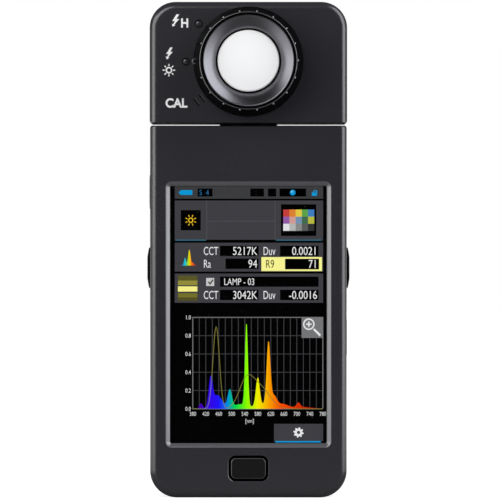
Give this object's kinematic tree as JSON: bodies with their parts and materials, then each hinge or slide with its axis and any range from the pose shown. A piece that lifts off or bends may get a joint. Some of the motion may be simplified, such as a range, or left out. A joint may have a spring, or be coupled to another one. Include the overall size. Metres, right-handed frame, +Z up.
{
  "type": "handheld spectrometer",
  "caption": "Handheld light spectrometer with a touch screen, side keys and a swivelling receptor head with a rotary select ring.",
  "frame": {"origin": "middle of the flat base, half-way through the case's depth", "axes": "+Z up along the body, -Y out of the screen, +X to the right of someone reading the screen"},
  "size_m": [0.0746, 0.04, 0.183],
  "materials": {
    "shell": "fine satin grain, charcoal",
    "black_plastic": "smooth satin black",
    "dark_plastic": "plain moulded",
    "glass": "polished",
    "screen": "lit display",
    "print": "printed white",
    "dish": "fine turned",
    "diffuser": "opal white",
    "steel": "plain",
    "brass": "turned",
    "aluminium": "blasted",
    "board": "solder resist",
    "rubber": "moulded",
    "cell": "wrapped label",
    "mirror": "coated"
  },
  "bodies": {
    "housing": {"front_cover": "shell", "rear_cover": "shell", "touch_glass": "glass", "lcd_module": "screen", "display_chassis": "aluminium", "main_board": "board", "power_switch": "dark_plastic", "left_measure_switch": "dark_plastic", "right_measure_switch": "dark_plastic", "memory_switch": "dark_plastic", "battery_holder": "dark_plastic", "battery_cell_lower": "cell", "battery_cell_upper": "cell", "battery_contact_bridge": "steel", "battery_contact_negative": "steel", "battery_contact_positive": "steel", "tripod_insert": "brass", "strap_pin": "steel", "usb_connector": "steel", "board_cable_header": "dark_plastic", "neck_cable": "rubber", "case_screw_1": "steel", "case_screw_2": "steel", "case_screw_3": "steel", "case_screw_4": "steel"},
    "head": {"neck_tube": "black_plastic", "neck_washer": "steel", "head_front_shell": "shell", "head_rear_shell": "shell", "receptor_housing": "dark_plastic", "receptor_cone": "dish", "diffuser": "diffuser", "light_guide": "glass", "optical_bench": "aluminium", "bench_cover": "aluminium", "entrance_slit": "steel", "fold_mirror": "mirror", "diffraction_grating": "mirror", "line_sensor": "dark_plastic", "head_board": "board", "head_cable_socket": "dark_plastic", "head_screw_1": "steel", "head_screw_2": "steel", "head_screw_3": "steel", "head_screw_4": "steel"},
    "ring": {"select_ring": "black_plastic", "ring_drive_pin_upper": "steel", "ring_drive_pin_lower": "steel", "shutter_disc": "aluminium", "grey_filter": "glass"},
    "power_key": {"power_key": "black_plastic"},
    "left_measure_button": {"left_measure_button": "black_plastic"},
    "right_measure_button": {"right_measure_button": "black_plastic"},
    "memory_key": {"memory_key": "black_plastic"},
    "battery_lid": {"battery_lid": "shell"},
    "port_cover": {"port_cover": "rubber"}
  },
  "joints": [
    {"name": "head_swivel", "type": "hinge", "parent": "housing", "child": "head", "pos_m": [0, 0, 0.1377], "axis": [0, 0, 1], "range_deg": [-90, 180]},
    {"name": "ring_select", "type": "hinge", "parent": "head", "child": "ring", "pos_m": [0, -0.02, 0.16085], "axis": [0, -1, 0], "range_deg": [-38, 38]},
    {"name": "power_press", "type": "slide", "parent": "housing", "child": "power_key", "axis": [0, 1, 0], "range_m": [0, 0.0006], "stiffness_N_per_m": 1500, "springref_m": -0.0004},
    {"name": "left_measure_press", "type": "slide", "parent": "housing", "child": "left_measure_button", "axis": [1, 0, 0], "range_m": [0, 0.0006], "stiffness_N_per_m": 1500, "springref_m": -0.0004},
    {"name": "right_measure_press", "type": "slide", "parent": "housing", "child": "right_measure_button", "axis": [-1, 0, 0], "range_m": [0, 0.0006], "stiffness_N_per_m": 1500, "springref_m": -0.0004},
    {"name": "memory_press", "type": "slide", "parent": "housing", "child": "memory_key", "axis": [1, 0, 0], "range_m": [0, 0.0006], "stiffness_N_per_m": 1500, "springref_m": -0.0004},
    {"name": "lid_off", "type": "slide", "parent": "housing", "child": "battery_lid", "axis": [0, 1, 0], "range_m": [0, 0.02]},
    {"name": "port_cover_open", "type": "hinge", "parent": "housing", "child": "port_cover", "pos_m": [0.0365, -0.003, 0.0526], "axis": [0, 1, 0], "range_deg": [0, 100]}
  ]
}
